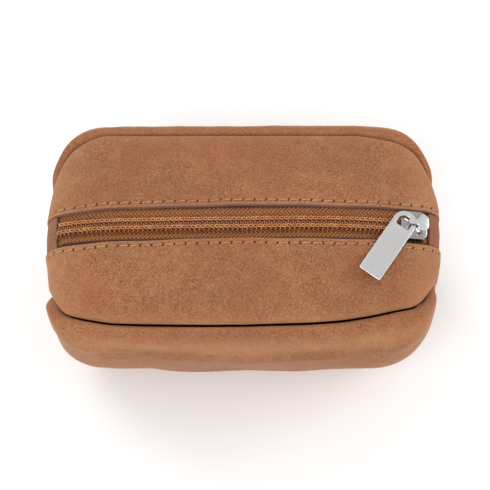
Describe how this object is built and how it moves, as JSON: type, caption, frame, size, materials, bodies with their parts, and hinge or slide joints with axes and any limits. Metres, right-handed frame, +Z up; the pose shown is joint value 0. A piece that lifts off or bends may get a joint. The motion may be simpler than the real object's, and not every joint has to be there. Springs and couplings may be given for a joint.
{
  "type": "zippered pouch",
  "caption": "Small boxy leather pouch with a wide domed top and a coil zip along it, closed by a slider with a flat metal puller.",
  "frame": {"origin": "middle of the resting face, at the bottom centre of the pouch", "axes": "+X along the zip towards its closed end, -Y is the front, +Z up out of the zip"},
  "size_m": [0.1182, 0.0748, 0.0681],
  "materials": {
    "leather": "matt nubuck with a fine speckled grain",
    "tab_leather": "matt nubuck",
    "lining": "plain woven lining",
    "zip_tape": "herringbone woven tape",
    "coil": "slightly glossy monofilament",
    "cord": "twisted cord",
    "coil_thread": "golden brown chain stitch",
    "thread": "tan sewing thread",
    "slider_metal": "satin plated faces with polished edges",
    "spring_steel": "bright spring steel"
  },
  "bodies": {
    "pouch": {"front_panel": "leather", "back_panel": "leather", "base_gusset": "leather", "zip_strip_front": "leather", "zip_strip_back": "leather", "zip_end_tab_left": "tab_leather", "zip_end_tab_right": "tab_leather", "lining_front": "lining", "lining_back": "lining", "lining_gusset": "lining", "lining_strip_front": "lining", "lining_strip_back": "lining", "zip_tape_front": "zip_tape", "zip_tape_back": "zip_tape", "zip_coil_front": "coil", "zip_coil_back": "coil", "core_cord_front": "cord", "core_cord_back": "cord", "coil_stitch_front": "coil_thread", "coil_stitch_back": "coil_thread", "strip_stitching_front": "thread", "strip_stitching_back": "thread", "seam_thread_front": "thread", "seam_thread_back": "thread", "cross_seam_thread_left": "thread", "cross_seam_thread_right": "thread"},
    "slider": {"slider_body": "slider_metal", "slider_cap": "slider_metal", "lock_spring": "spring_steel"},
    "pawl": {"lock_pawl": "spring_steel"},
    "puller": {"puller": "slider_metal"}
  },
  "joints": [
    {"name": "slider_travel", "type": "hinge", "parent": "pouch", "child": "slider", "pos_m": [0, 0, -0.167], "axis": [0, -1, 0], "range_deg": [0, 24.7], "deforming": ["zip_coil_front", "zip_coil_back", "core_cord_front", "core_cord_back", "coil_stitch_front", "coil_stitch_back"]},
    {"name": "puller_swing", "type": "hinge", "parent": "slider", "child": "puller", "pos_m": [0.05045, 0, 0.06462], "axis": [0.0142, 0.9962, 0.086], "range_deg": [0, 110]},
    {"name": "pawl_lift", "type": "slide", "parent": "slider", "child": "pawl", "axis": [0.2145, 0, 0.9767], "range_m": [0, 0.0005], "deforming": ["lock_spring"]}
  ],
  "couplings": [
    {"joint": "pawl_lift", "follows": "puller_swing", "m_per_rad": 0.00026018}
  ]
}
